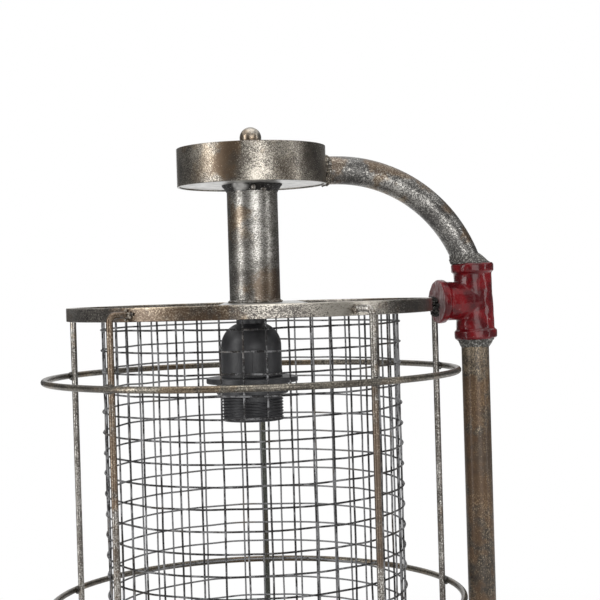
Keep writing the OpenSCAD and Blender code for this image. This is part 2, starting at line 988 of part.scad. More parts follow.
// The flex turns inside the arm from the drum's level to the middle of the upright pipe
module internal_flex() {
    riser_l = arm_z - flex_arm_r - flex_base_z - flex_bend_r;
    drum_run = pipe_x - flex_arm_r - shade_x - flex_bend_r;
    color("whitesmoke")
        translate([pipe_x - flex_arm_r, 0, arm_z - flex_arm_r]) {
            bend(flex_arm_r, flex_d, 0, 90);
            translate([-drum_run, 0, flex_arm_r])
                level_bar(flex_d, drum_run);
            translate([-drum_run, 0, flex_arm_r - flex_bend_r]) {
                bend(flex_bend_r, flex_d, 90, 180);
                translate([-flex_bend_r, 0, -flex_drop_l])
                    cylinder(d = flex_d, h = flex_drop_l);
            }
            translate([flex_arm_r, 0, -riser_l]) {
                cylinder(d = flex_d, h = riser_l);
                rotate([0, 0, block_turn])
                    translate([flex_bend_r, 0, 0]) {
                        bend(flex_bend_r, flex_d, 180, 270);
                        translate([0, 0, -flex_bend_r])
                            level_bar(flex_d, block_x - block_l / 2 - seat_gap - flex_bend_r);
                    }
            }
        }
}

base_felt();
base_plate();
base_rim();
base_top();
cord_gland();
terminal_block();
upright_pipe();
pipe_foot_weld();
tee();
tee_lower_weld();
tee_upper_weld();
branch_plug();
branch_weld();
arm_pipe();
arm_weld();
drum_rim();
drum_floor();
lid_bridge();
lid_stud();
drum_lid();
ball_nut();
stem_tube();
stem_collar();
stem_foot_weld();
strap_plate();
band(cage_z1 - band_h);  // top_band
band(cage_z0);  // bottom_band
guard_ring(ring_z1);  // upper_guard_ring
guard_ring(ring_z0);  // lower_guard_ring
tee_rod();  // cage_rod_1
cage_rod(1);  // cage_rod_2
cage_rod(2);  // cage_rod_3
cage_rod(3);  // cage_rod_4
cage_rod(4);  // cage_rod_5
rod_end_welds();
mesh_wires();
mesh_hoops();
mesh_stays();
nipple();
nipple_nuts();
holder_cap();
holder_core();
screw_shell();
centre_contact();
holder_skirt();
shade_ring();
internal_flex();
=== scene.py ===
"""Looks, light and camera for an industrial table lamp. Metres, +Z up.

The origin is the centre of the base's underside, and +X points to the upright pipe.
"""

import math
import random

import bmesh
import bpy
from mathutils import Matrix, Vector, noise


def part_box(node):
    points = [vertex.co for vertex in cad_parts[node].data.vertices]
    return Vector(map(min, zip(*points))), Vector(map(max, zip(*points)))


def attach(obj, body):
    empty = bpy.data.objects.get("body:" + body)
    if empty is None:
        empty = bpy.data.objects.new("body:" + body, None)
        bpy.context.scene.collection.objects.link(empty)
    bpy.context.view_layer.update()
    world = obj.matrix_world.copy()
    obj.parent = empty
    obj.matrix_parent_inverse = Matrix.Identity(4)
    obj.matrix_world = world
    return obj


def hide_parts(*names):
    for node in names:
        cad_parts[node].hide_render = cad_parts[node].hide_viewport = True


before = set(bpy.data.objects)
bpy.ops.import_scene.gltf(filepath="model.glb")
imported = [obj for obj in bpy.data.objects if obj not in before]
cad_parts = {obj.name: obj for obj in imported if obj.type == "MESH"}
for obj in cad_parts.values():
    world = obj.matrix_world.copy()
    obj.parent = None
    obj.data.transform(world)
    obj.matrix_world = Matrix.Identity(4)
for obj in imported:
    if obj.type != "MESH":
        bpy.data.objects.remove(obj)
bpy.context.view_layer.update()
MM = 0.001
STAND = "stand"


def middle_x(node):
    lo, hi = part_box(node)
    return (lo.x + hi.x) / 2


def middle_z(node):
    lo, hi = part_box(node)
    return (lo.z + hi.z) / 2


def half_width(node):
    lo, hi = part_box(node)
    return (hi.x - lo.x) / 2


# The shade's axis and the main sizes and heights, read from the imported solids
AXIS = Vector((middle_x("top_band"), 0, 0))
BAND_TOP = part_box("top_band")[1].z
BAND_R = half_width("top_band")
PIPE_X = middle_x("upright_pipe")
PIPE_R = half_width("upright_pipe")
STEM_AXIS = Vector((middle_x("stem_tube"), 0, 0))
STEM_R = half_width("stem_tube")
BASE_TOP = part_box("base_top")[1].z
DRUM_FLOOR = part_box("drum_floor")[0].z
DRUM_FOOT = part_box("drum_rim")[0].z
DRUM_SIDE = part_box("drum_rim")[1].x
TEE_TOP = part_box("tee")[1].z

# The arm: the height of its level run, and the bend that ends on the tee
ARM_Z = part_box("arm_pipe")[1].z - PIPE_R
ARM_BEND_R = 92 * MM
ARM_END_X = middle_x("tee_upper_weld")
ARM_SWEEP = math.acos((TEE_TOP - ARM_Z + ARM_BEND_R) / ARM_BEND_R)

# The tee: the height of its lower end, and its branch, which is turned a little towards the front
TEE_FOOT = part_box("tee")[0].z + 1.4 * MM
TEE_TURN = math.radians(4)
BRANCH_L = 26.6 * MM
BRANCH_RISE = 1.0 * MM
BRANCH_WAY = Vector((-math.cos(TEE_TURN), -math.sin(TEE_TURN), 0))
BRANCH_FACE = Vector((PIPE_X, 0, middle_z("tee") + BRANCH_RISE)) + BRANCH_WAY * BRANCH_L

# The rods' places round the cage: the angle of each, and how far its ends lean from square to the band
ROD_COUNT = 5
ROD_PHASE = 3
ROD_LEAN = {"cage_rod_4": -16, "cage_rod_5": 16}
ROD_OUT = 10.7 * MM
ROD_R = 2 * MM
ROD_ANGLES = {"cage_rod_%d" % (i + 1): math.radians(ROD_PHASE + 360 / ROD_COUNT * i)
              for i in range(ROD_COUNT)}

# The camera's place and aim, in the photograph's own directions
VIEW_TURN = math.radians(-12)
CAMERA_BACK = 0.8785
CAMERA_UP = 0.0071
CAMERA_YAW = math.radians(2.06)
CAMERA_PITCH = math.radians(-0.41)
CAMERA_ROLL = math.radians(1.70)
LENS_MM = 83.67
SENSOR_MM = 36
FAR_CLIP = 50


def at_view(right, depth, up):
    """A point as the camera sees it: right of the shade's axis, behind it, and above the upper band."""
    level = Matrix.Rotation(VIEW_TURN, 3, "Z") @ Vector((right, depth, 0))
    return AXIS + level + Vector((0, 0, BAND_TOP + up))


def add_camera():
    place = at_view(0, -CAMERA_BACK, CAMERA_UP)
    heading = math.radians(90) + VIEW_TURN - CAMERA_YAW
    ahead = Vector((math.cos(heading) * math.cos(CAMERA_PITCH),
                    math.sin(heading) * math.cos(CAMERA_PITCH),
                    math.sin(CAMERA_PITCH)))
    right = ahead.cross(Vector((0, 0, 1))).normalized()
    above = right.cross(ahead)
    rolled_up = above * math.cos(CAMERA_ROLL) + right * math.sin(CAMERA_ROLL)
    rolled_right = ahead.cross(rolled_up)
    data = bpy.data.cameras.new("camera")
    data.sensor_width = SENSOR_MM
    data.lens = LENS_MM
    data.clip_end = FAR_CLIP
    camera = bpy.data.objects.new("camera", data)
    turn = Matrix((rolled_right, rolled_up, -ahead)).transposed().to_4x4()
    camera.matrix_world = Matrix.Translation(place) @ turn
    bpy.context.scene.collection.objects.link(camera)
    bpy.context.scene.camera = camera


add_camera()


# The colour sockets of the mix node, which has a set of sockets for each kind of value
MIX_SHARE, MIX_A, MIX_B, MIX_RESULT = 0, 6, 7, 2


class Shader:
    """A node material built up by short calls. Every pattern is laid out in the row's own metres."""

    def __init__(self, name, **sockets):
        self.material = bpy.data.materials.new(name)
        self.material.use_nodes = True
        self.tree = self.material.node_tree
        self.surface = self.tree.nodes["Principled BSDF"]
        for socket, value in sockets.items():
            self.surface.inputs[socket].default_value = value
        self.place = self.tree.nodes.new("ShaderNodeTexCoord").outputs["Object"]

    def put(self, kind, inputs=(), **settings):
        node = self.tree.nodes.new(kind)
        for key, value in settings.items():
            setattr(node, key, value)
        for key, value in dict(inputs).items():
            self.feed(node.inputs[key], value)
        return node

    def feed(self, socket, value):
        if isinstance(value, bpy.types.NodeSocket):
            self.tree.links.new(value, socket)
        else:
            socket.default_value = value

    def stretched(self, stretch):
        return self.put("ShaderNodeMapping", {"Vector": self.place, "Scale": stretch}).outputs[0]

    def grain(self, scale, detail=3.0, stretch=(1, 1, 1), rough=0.55, warp=0.0):
        """Soft noise, scale in features to the metre."""
        node = self.put("ShaderNodeTexNoise",
                        {"Vector": self.stretched(stretch), "Scale": scale, "Detail": detail,
                         "Roughness": rough, "Distortion": warp})
        return node.outputs[0]

    def cells(self, scale, stretch=(1, 1, 1)):
        node = self.put("ShaderNodeTexVoronoi", {"Vector": self.stretched(stretch), "Scale": scale})
        return node.outputs["Distance"]

    def step(self, value, low, high, start=0.0, end=1.0):
        """Maps low to high onto start to end, smoothly, and holds the ends."""
        node = self.put("ShaderNodeMapRange",
                        {"Value": value, "From Min": low, "From Max": high, "To Min": start, "To Max": end},
                        interpolation_type="SMOOTHSTEP")
        return node.outputs[0]

    def math(self, operation, a, b=0.0):
        return self.put("ShaderNodeMath", {0: a, 1: b}, operation=operation).outputs[0]

    def plus(self, a, b, weight):
        """a, with b added at a weight."""
        return self.math("ADD", a, self.math("MULTIPLY", b, weight))

    def mix(self, amount, a, b):
        node = self.put("ShaderNodeMix", data_type="RGBA", blend_type="MIX")
        self.feed(node.inputs[MIX_SHARE], amount)
        self.feed(node.inputs[MIX_A], a)
        self.feed(node.inputs[MIX_B], b)
        return node.outputs[MIX_RESULT]

    def offset(self, centre):
        """The way from a point of the row's frame to the place that is shaded."""
        node = self.put("ShaderNodeVectorMath", {0: self.place, 1: tuple(centre)}, operation="SUBTRACT")
        return node.outputs[0]

    def length(self, vector):
        return self.put("ShaderNodeVectorMath", {0: vector}, operation="LENGTH").outputs[1]

    def dot(self, vector, way):
        node = self.put("ShaderNodeVectorMath", {0: vector, 1: tuple(way)}, operation="DOT_PRODUCT")
        return node.outputs[1]

    def near(self, centre, radius, soft):
        """1 inside a rough-edged ball round a point of the row's frame, 0 outside."""
        ragged = self.math("MULTIPLY", self.math("ADD", self.grain(130, 4), -0.5), 3 * soft)
        away = self.math("ADD", self.length(self.offset(centre)), ragged)
        return self.step(away, radius + soft / 2, radius - soft / 2)

    def bump(self, height, strength, depth):
        node = self.put("ShaderNodeBump", {"Height": height, "Strength": strength, "Distance": depth})
        self.feed(self.surface.inputs["Normal"], node.outputs[0])

    def colour(self, value):
        self.feed(self.surface.inputs["Base Color"], value)

    def roughness(self, value):
        self.feed(self.surface.inputs["Roughness"], value)


def rgb(red, green, blue):
    return (red, green, blue, 1.0)


def tint(colour, red, green=None, blue=None):
    """A colour with its channels scaled, all alike if only one factor is given."""
    factors = (red, red if green is None else green, red if blue is None else blue)
    return tuple(c * k for c, k in zip(colour[:3], factors)) + (1.0,)


DARK = rgb(0.085, 0.078, 0.070)
BROWN = rgb(0.150, 0.098, 0.058)
SILVER = rgb(0.46, 0.445, 0.415)
# A pale grey that paints the white floor's reflection on the undersides
PALE = rgb(0.46, 0.455, 0.44)

# How far silver is dulled in red, green and blue where it is browned
TARNISH = (0.78, 0.65, 0.49)

# How the grain is drawn out along rolled strip
LEVEL = (0.6, 0.6, 1.5)


def aged_metal(name, dark, brown, silver, rust=0.5, shine=0.5, along=(1, 1, 1), fine=3000, spots=(),
               metallic=0.9, rough=0.30, contrast=0.8, coat=0.25, floor_reflection_below=None, top_highlight_from=None):
    """Lacquered steel with an antique finish: a dark ground, fine silver grain and soft brown patches.

    rust and shine say how much brown and silver there is, and contrast how sharply the silver stands out.
    fine says how small its grain is, and along how that is drawn out. The metal is painted pale below a
    given height, a painted reflection of the white floor, and brighter above another height, a painted
    highlight on the lit top face.
    """
    s = Shader(name, Metallic=metallic)
    s.surface.inputs["Coat Weight"].default_value = coat
    s.surface.inputs["Coat Roughness"].default_value = 0.22
    patches = s.grain(26, 3, warp=0.4)
    mottle = s.grain(150, 4)
    fleck = s.grain(fine, 2, rough=0.5)
    brushed = s.grain(fine * 0.55, 3, along, rough=0.6)
    drift = s.grain(60, 3, along)
    brown_share = s.step(s.plus(patches, mottle, 0.45), 0.86 - 0.3 * rust, 1.04 - 0.25 * rust)
    bright_sum = s.plus(s.math("MULTIPLY", fleck, 0.5), brushed, 0.5)
    bright_sum = s.plus(bright_sum, s.math("ADD", drift, -0.5), 0.30)
    for centre, radius, brown_more, bright_more in spots:
        inside = s.near(centre, radius, radius * 0.9)
        brown_share = s.plus(brown_share, inside, brown_more)
        bright_sum = s.plus(bright_sum, inside, bright_more)
    height = s.put("ShaderNodeSeparateXYZ", {0: s.place}).outputs["Z"]
    # Above the given height, along the top face, the metal is painted brighter: a painted highlight
    if top_highlight_from is not None:
        rubbed = s.step(height, top_highlight_from, top_highlight_from + 1.0 * MM, 0.0, 0.10)
        bright_sum = s.math("ADD", bright_sum, rubbed)
    middle = 0.59 - 0.12 * shine
    spread = 0.13 / contrast
    bright_share = s.step(bright_sum, middle - spread, middle + spread)
    ground = s.mix(s.step(mottle, 0.35, 0.65), dark, tint(dark, 1.7))
    ground = s.mix(s.step(brown_share, 0.0, 1.0, 0.0, 0.8), ground, brown)
    warm_silver = s.mix(s.step(brown_share, 0.0, 1.0, 0.0, 0.75), silver, tint(silver, *TARNISH))
    skin = s.mix(bright_share, ground, warm_silver)
    # Below the given height the metal is painted pale: a painted reflection of the white floor
    if floor_reflection_below is not None:
        skin = s.mix(s.step(height, floor_reflection_below + 0.2 * MM, floor_reflection_below), skin, PALE)
    s.colour(skin)
    s.roughness(s.step(bright_share, 0.0, 1.0, rough + 0.10, rough))
    s.bump(s.plus(s.math("MULTIPLY", brushed, 0.6), mottle, 0.4), 0.22 * contrast, 0.4 * MM)
    return s.material


def weld_metal(name, dark, light, shine, spots=()):
    """A burnt weld bead: near black, crusted, with pale spatter, and pale metal at any given spots: rubbed
    places and painted highlights.
    """
    s = Shader(name, Metallic=0.6)
    crust = s.grain(380, 5, rough=0.7)
    spatter_from = 0.62 - 0.12 * shine
    spatter = s.step(s.grain(900, 4, rough=0.7), spatter_from, spatter_from + 0.10)
    for centre, radius in spots:
        # A spot paints pale metal in, both for a rubbed place and for a painted highlight
        rubbed = s.near(centre, radius, radius * 0.6)
        spatter = s.math("MAXIMUM", spatter, s.math("MULTIPLY", rubbed, 0.85))
    ground = s.mix(s.step(crust, 0.4, 0.65), dark, tint(dark, 2.2))
    s.colour(s.mix(spatter, ground, light))
    s.roughness(s.step(crust, 0.3, 0.7, 0.45, 0.75))
    s.bump(crust, 0.8, 1.2 * MM)
    return s.material


def red_paint(face, facing):
    """Dark red gloss over a cast surface, with pale worn flecks, and dull and dusty on the end of the
    branch.
    """
    s = Shader("red_paint", Metallic=0.0, IOR=1.2)
    s.surface.inputs["Coat Roughness"].default_value = 0.05
    shade = s.grain(90, 4)
    body = s.mix(s.step(shade, 0.38, 0.66), rgb(0.062, 0.003, 0.005), rgb(0.160, 0.006, 0.009))
    worn = s.step(s.plus(s.grain(260, 5, rough=0.75), shade, 0.3), 0.82, 0.92)
    body = s.mix(worn, body, rgb(0.40, 0.22, 0.20))

    normal = s.put("ShaderNodeNewGeometry").outputs["Normal"]
    on_end = s.step(s.dot(s.offset(face), facing), -3.0 * MM, -2.0 * MM)
    dull = s.math("MULTIPLY", on_end, s.step(s.dot(normal, facing), 0.72, 0.92))
    scuffs = s.step(s.grain(260, 4, rough=0.6), 0.36, 0.56)
    dust = s.step(s.grain(700, 4, (1, 1, 0.2), 0.7), 0.35, 0.7)
    dusty = s.mix(dust, rgb(0.160, 0.085, 0.085), rgb(0.40, 0.33, 0.33))
    dusty = s.mix(scuffs, s.mix(0.5, body, dusty), dusty)
    s.colour(s.mix(dull, body, dusty))

    cast = s.grain(300, 4, rough=0.6)
    pits = s.step(s.cells(520), 0.05, 0.22)
    orange_peel = s.grain(620, 3, rough=0.5)
    s.roughness(s.math("MAXIMUM", s.step(cast, 0.35, 0.7, 0.20, 0.42), s.math("MULTIPLY", dull, 0.5)))
    s.feed(s.surface.inputs["Coat Weight"], s.step(dull, 0.0, 1.0, 0.45, 0.05))
    relief = s.plus(s.math("MULTIPLY", cast, 0.5), orange_peel, 0.5)
    s.bump(s.plus(relief, pits, 0.2), 0.62, 0.9 * MM)
    return s.material


def black_plastic():
    """Satin black moulding compound with a faint bloom."""
    s = Shader("black_plastic", Metallic=0.0, IOR=1.5)
    bloom = s.grain(120, 4, (1, 1, 0.4))
    s.colour(s.mix(s.step(bloom, 0.35, 0.7), rgb(0.010, 0.010, 0.012), rgb(0.028, 0.028, 0.031)))
    s.roughness(s.step(s.grain(700, 3), 0.3, 0.7, 0.36, 0.50))
    s.bump(s.grain(1500, 3), 0.10, 0.2 * MM)
    return s.material


def felt():
    """Black wool felt with a fibrous nap."""
    s = Shader("felt", Metallic=0.0)
    fibre = s.grain(1600, 5, rough=0.8, warp=1.5)
    s.colour(s.mix(fibre, rgb(0.012, 0.012, 0.012), rgb(0.06, 0.06, 0.058)))
    s.roughness(s.step(fibre, 0.0, 1.0, 0.9, 1.0))
    s.bump(fibre, 0.8, 0.6 * MM)
    return s.material


def plain_metal(name, low, high, rough, scale=900, along=(1, 1, 1)):
    """Clean metal whose tone and gloss waver between two colours."""
    s = Shader(name, Metallic=1.0)
    tone = s.grain(scale, 4, along)
    s.colour(s.mix(s.step(tone, 0.3, 0.7), low, high))
    s.roughness(s.step(s.grain(200, 3), 0.3, 0.7, rough - 0.08, rough + 0.10))
    s.bump(tone, 0.15, 0.2 * MM)
    return s.material


def moulded(name, low, high, rough):
    """Plastic or rubber with a faint moulded grain."""
    s = Shader(name, Metallic=0.0, IOR=1.5)
    s.colour(s.mix(s.grain(160, 4), low, high))
    s.roughness(s.step(s.grain(500, 3), 0.3, 0.7, rough - 0.06, rough + 0.08))
    s.bump(s.grain(1300, 3), 0.12, 0.2 * MM)
    return s.material


def on_arm(turn, out, toward):
    """A point of the arm's bend: degrees past its top, and how far outward and along Y from its middle."""
    centre = Vector((ARM_END_X - ARM_BEND_R * math.sin(ARM_SWEEP), 0, ARM_Z - ARM_BEND_R))
    a = math.radians(turn)
    return centre + (ARM_BEND_R + out) * Vector((math.sin(a), 0, math.cos(a))) + Vector((0, toward, 0))


# Where the photograph shows the metal browner, brighter or darker: centre, radius, brown, bright
BAND_SPOTS = (
    (at_view(-0.045, -0.104, -0.004), 0.044, 0.5, -0.025),
    (at_view(-0.098, -0.058, -0.004), 0.030, -0.7, 0.0),
    (at_view(0.035, -0.108, -0.004), 0.034, -0.5, 0.05),
    (at_view(0.062, -0.096, -0.004), 0.030, -0.8, 0.07),
    (at_view(0.100, -0.060, -0.004), 0.034, 0.2, -0.06),
)
DRUM_SPOTS = (
    (at_view(-0.024, -0.040, 0.086), 0.013, 0.6, 0.03),
    (at_view(-0.0105, -0.045, 0.086), 0.010, 0.5, -0.09),
    (at_view(0.005, -0.046, 0.084), 0.010, -0.3, 0.05),
    (at_view(0.026, -0.040, 0.080), 0.013, 0.3, 0.02),
    (at_view(0.042, -0.026, 0.086), 0.014, -0.5, -0.02),
)
STEM_SPOTS = (
    (at_view(0.012, -0.011, 0.010), 0.013, 0.7, -0.03),
    (at_view(-0.004, -0.016, 0.055), 0.006, 0.8, 0.02),
    (at_view(0.002, -0.016, 0.064), 0.007, -0.6, 0.07),
    (at_view(-0.016, -0.008, 0.036), 0.018, 0.2, -0.06),
    (at_view(0.004, -0.016, 0.040), 0.016, -0.5, 0.05),
    (at_view(-0.010, -0.012, 0.030), 0.014, -0.5, 0.0),
)
ARM_SPOTS = [(Vector((DRUM_SIDE + 0.005, -0.007, ARM_Z + 0.004)), 0.008, 0.7, 0.0)]
ARM_SPOTS += [(on_arm(turn, 6 * MM, -5 * MM), 0.0065, 1.0, -0.03) for turn in (12, 24, 36, 48, 60)]
ARM_SPOTS += [(on_arm(turn, -3 * MM, -8 * MM), 0.0085, -1.0, 0.02) for turn in (10, 24, 38, 52)]
ROD_SPOTS = (
    (at_view(0.080, -0.090, -0.105), 0.045, 0.8, -0.12),
)
PIPE_SPOTS = (
    (Vector((PIPE_X, -PIPE_R, TEE_FOOT - 0.012)), 0.012, -0.6, 0.06),
    (Vector((PIPE_X - 0.006, -PIPE_R, TEE_FOOT - 0.075)), 0.020, 0.5, -0.05),
)
# The back half of the wire mesh painted paler: a painted reflection of the white surround
WIRE_BACK_REFLECTION = (
    (at_view(0, 0.240, -0.110), 0.260, -0.3, 0.40),
)

# Where the weld under the drum is bright: a rubbed silver place, then a painted highlight. Centre, radius
COLLAR_SPOTS = (
    (at_view(-0.0065, -0.0175, 0.0700), 0.0058),
    (at_view(0.0100, -0.0165, 0.0690), 0.0018),
)

MATERIAL = {
    "base": aged_metal("aged_steel", DARK, BROWN, tint(SILVER, 0.72),
                       rust=0.45, shine=0.30, rough=0.55, coat=0.05),
    "ball": aged_metal("ball_steel", DARK, BROWN, tint(SILVER, 1.1, 1.04, 0.96),
                       rust=0.65, shine=0.42, contrast=1.1, rough=0.2),
    "pipe": aged_metal("aged_pipe", rgb(0.046, 0.039, 0.032), rgb(0.105, 0.062, 0.034),
                       tint(SILVER, 0.72, 0.59, 0.44), rust=0.7, shine=0.06, along=(1, 1, 0.7), fine=2000,
                       contrast=1.3, rough=0.5, spots=PIPE_SPOTS),
    "arm": aged_metal("arm_steel", rgb(0.062, 0.059, 0.056), rgb(0.115, 0.075, 0.045), SILVER,
                      rust=0.45, shine=0.34, fine=1500, spots=ARM_SPOTS, contrast=1.5),
    # The drum's rim is painted pale under its foot, a painted reflection of the white floor
    "drum": aged_metal("drum_steel", rgb(0.060, 0.052, 0.043), rgb(0.098, 0.064, 0.038),
                       tint(SILVER, 1.0, 0.955, 0.88), rust=0.45, shine=0.34, fine=2500, contrast=1.5,
                       spots=DRUM_SPOTS, floor_reflection_below=DRUM_FOOT),
    "stem": aged_metal("stem_steel", rgb(0.072, 0.066, 0.058), rgb(0.120, 0.078, 0.046), SILVER,
                       rust=0.42, shine=0.34, along=(0.6, 0.6, 1.3), fine=2300, spots=STEM_SPOTS,
                       contrast=1.4),
    # The drum's floor is painted pale all over: a painted reflection of the white floor below it
    "drum_under": aged_metal("drum_under_reflection_steel", PALE, rgb(0.40, 0.37, 0.33), rgb(0.66, 0.65, 0.63),
                             rust=0.2, shine=0.3, fine=900),
    # The band's top face is painted brighter, a painted highlight
    "band": aged_metal("band_steel", rgb(0.044, 0.039, 0.035), rgb(0.080, 0.050, 0.029),
                       rgb(0.42, 0.39, 0.34), rust=0.72, shine=0.26, along=LEVEL, fine=2200,
                       spots=BAND_SPOTS, contrast=1.6, top_highlight_from=BAND_TOP - 1.2 * MM),
    "rod": aged_metal("rod_steel", rgb(0.066, 0.057, 0.048), rgb(0.105, 0.070, 0.045), tint(SILVER, 1.05),
                      rust=0.4, shine=0.46, fine=1900, contrast=1.5, spots=ROD_SPOTS),
    "rod_brown": aged_metal("rod_brown_steel", rgb(0.062, 0.050, 0.039), rgb(0.105, 0.066, 0.038),
                            tint(SILVER, 0.9), rust=0.85, shine=0.28, fine=1900, contrast=1.3),
    "ring": aged_metal("ring_steel", rgb(0.050, 0.044, 0.036), rgb(0.095, 0.064, 0.038),
                       tint(SILVER, 0.74, 0.69, 0.6), rust=0.55, shine=0.14, fine=1700, contrast=1.1),
    # A near-black copy of the rod steel: painted shade for the back rod, whose side within the cage is seen;
    # the mesh stays share it
    "rod_painted_shade": aged_metal("rod_shaded_steel", rgb(0.022, 0.024, 0.020), rgb(0.045, 0.038, 0.026),
                           rgb(0.10, 0.105, 0.09), rust=0.4, shine=0.25),
    # The strap plate painted pale all over: a painted highlight for its lit top face
    "pale": aged_metal("pale_steel", rgb(0.20, 0.20, 0.19), rgb(0.20, 0.17, 0.14), rgb(0.50, 0.49, 0.47),
                       rust=0.25, along=(1.0, 0.3, 1.0), fine=1200),
    # The wires are painted paler at the back of the cage, a painted reflection
    "wire": aged_metal("mesh_wire", rgb(0.009, 0.008, 0.008), rgb(0.022, 0.016, 0.013),
                       rgb(0.20, 0.20, 0.205), rust=0.4, shine=-0.3, fine=1500, metallic=0.6, rough=0.52,
                       coat=0.05, spots=WIRE_BACK_REFLECTION),
    "weld": weld_metal("weld", rgb(0.016, 0.015, 0.014), rgb(0.34, 0.32, 0.29), 0.35),
    "weld_rubbed": weld_metal("weld_rubbed", rgb(0.050, 0.047, 0.043), rgb(0.40, 0.39, 0.36), 0.85),
    "rod_crust": weld_metal("rod_end_crust", rgb(0.105, 0.086, 0.068), rgb(0.44, 0.40, 0.34), 1.3),
    "rod_burn": weld_metal("rod_end_burn", rgb(0.040, 0.034, 0.030), rgb(0.40, 0.36, 0.31), 0.9),
    "arm_weld": weld_metal("arm_weld", rgb(0.050, 0.042, 0.034), rgb(0.46, 0.41, 0.33), 0.9),
    "collar": weld_metal("collar_weld", rgb(0.014, 0.013, 0.012), rgb(0.55, 0.54, 0.52), 0.18, COLLAR_SPOTS),
    "red": red_paint(BRANCH_FACE, BRANCH_WAY),
    "black": black_plastic(),
    "ivory": moulded("ivory_plastic", rgb(0.60, 0.54, 0.40), rgb(0.74, 0.68, 0.54), 0.42),
    "core": moulded("white_core", rgb(0.70, 0.68, 0.63), rgb(0.80, 0.78, 0.74), 0.30),
    "sheath": moulded("flex_sheath", rgb(0.58, 0.57, 0.54), rgb(0.70, 0.69, 0.66), 0.45),
    "rubber": moulded("rubber", rgb(0.010, 0.010, 0.010), rgb(0.022, 0.022, 0.022), 0.62),
    "brass": plain_metal("brass", rgb(0.62, 0.42, 0.16), rgb(0.78, 0.58, 0.27), 0.28, 700, (1, 1, 5)),
    "zinc": plain_metal("zinc", rgb(0.16, 0.155, 0.15), rgb(0.34, 0.33, 0.32), 0.36),
    "felt": felt(),
}

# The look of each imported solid
CAD_LOOKS = {
    "base": ("base_plate", "base_rim", "base_top"),
    "ball": ("lid_bridge", "ball_nut"),
    "pipe": ("upright_pipe",),
    "arm": ("arm_pipe",),
    "drum": ("drum_rim", "drum_lid"),
    "drum_under": ("drum_floor",),
    "stem": ("stem_tube",),
    "band": ("top_band", "bottom_band"),
    "rod": ("cage_rod_1", "cage_rod_3", "cage_rod_5"),
    "rod_brown": ("cage_rod_4",),
    "ring": ("upper_guard_ring", "lower_guard_ring"),
    # Painted shade: the back rod and the stays take the near-black rod steel
    "rod_painted_shade": ("cage_rod_2", "mesh_stays"),
    # The strap plate's pale look is a painted highlight
    "pale": ("strap_plate",),
    "red": ("tee", "branch_plug"),
    "black": ("holder_cap", "shade_ring"),
    "core": ("holder_core",),
    "brass": ("centre_contact",),
    "zinc": ("lid_stud", "nipple", "nipple_nuts"),
    "ivory": ("terminal_block",),
    "rubber": ("cord_gland",),
    "sheath": ("internal_flex",),
    "felt": ("base_felt",),
}


def dress_cad():
    """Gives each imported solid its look."""
    for look, nodes in CAD_LOOKS.items():
        for node in nodes:
            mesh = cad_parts[node].data
            mesh.materials.clear()
            mesh.materials.append(MATERIAL[look])


dress_cad()


def add_piece(name, mesh_data, look, body=STAND, stands_for=(), smooth_deg=40):
    """Links a mesh as a piece of the lamp, smooth except at its sharp edges."""
    mesh_data.materials.append(MATERIAL[look])
    piece = bpy.data.objects.new(name, mesh_data)
    bpy.context.scene.collection.objects.link(piece)
    for face in mesh_data.polygons:
        face.use_smooth = True
    mesh_data.set_sharp_from_angle(angle=math.radians(smooth_deg))
    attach(piece, body)
    if stands_for:
        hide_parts(*stands_for)


# How far apart two seeds lie in the noise that roughens a lump
SEED_STEP = (1.37, 0.71, 2.13)


def circle(radius, height, sides):
    """The points of a level circle round +Z."""
    turns = (2 * math.pi * k / sides for k in range(sides))
    return [Vector((radius * math.cos(a), radius * math.sin(a), height)) for a in turns]


def layered(point, *layers):
    """Noise at a point, summed over pairs of weight and frequency."""
    return sum(weight * noise.noise(point * frequency) for weight, frequency in layers)


